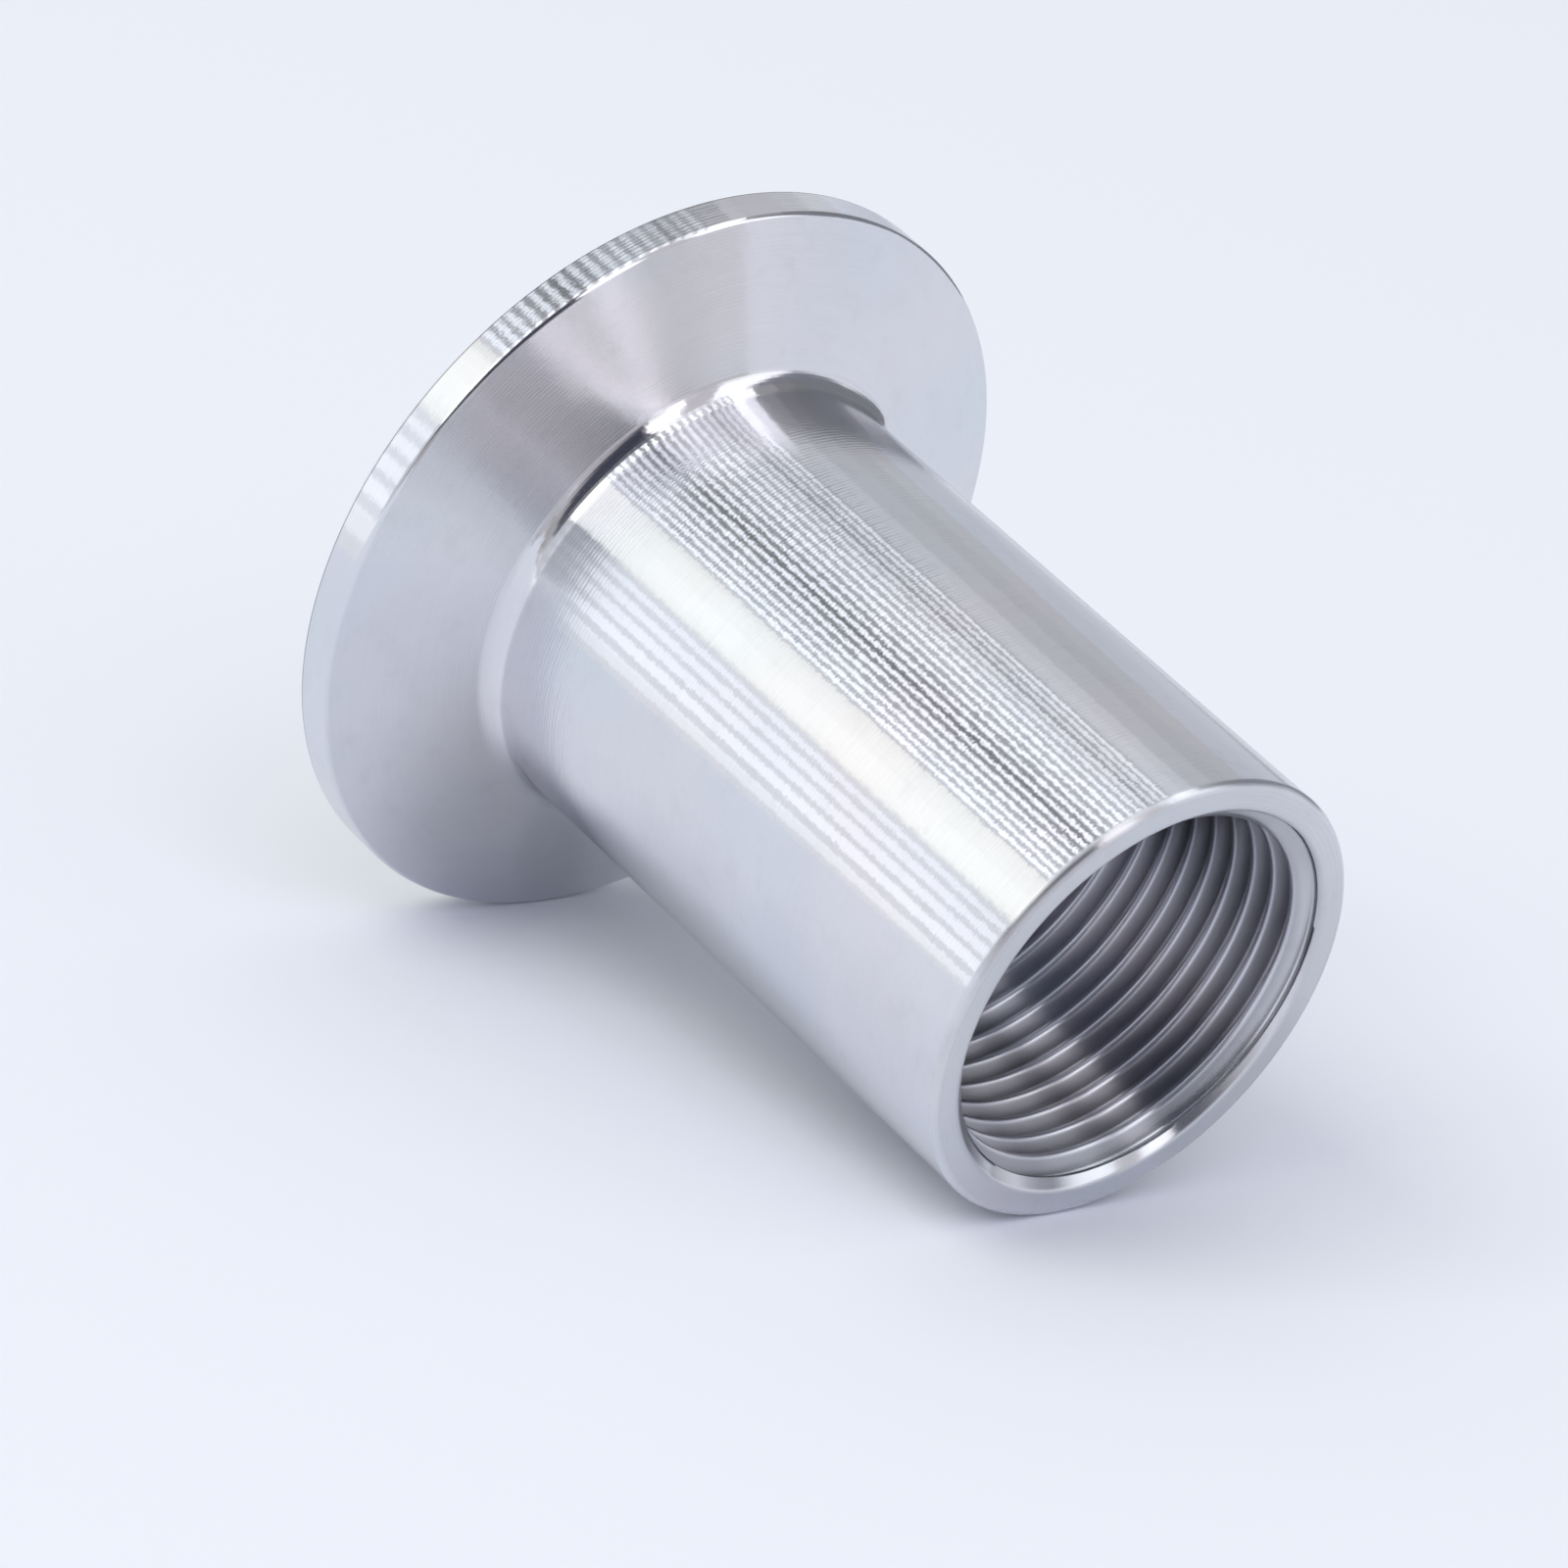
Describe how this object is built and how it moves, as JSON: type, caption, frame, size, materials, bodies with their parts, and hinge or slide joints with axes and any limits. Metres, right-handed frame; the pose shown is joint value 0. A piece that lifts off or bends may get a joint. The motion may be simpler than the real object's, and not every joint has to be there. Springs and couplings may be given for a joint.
{
  "type": "sanitary clamp threaded adapter",
  "caption": "Turned stainless steel adapter with a clamp flange and ring gasket seat at its base, and an internal parallel pipe thread in the far end of its tube.",
  "frame": {"origin": "centre of the gasket face, which the part stands on", "axes": "+Z along the turning axis, from the gasket face to the threaded mouth"},
  "size_m": [0.0506, 0.0506, 0.05],
  "materials": {
    "turned_steel": "fine turned stainless steel, bright, with circumferential tool marks"
  },
  "bodies": {
    "root": {"clamp_adapter": "turned_steel"}
  },
  "joints": []
}
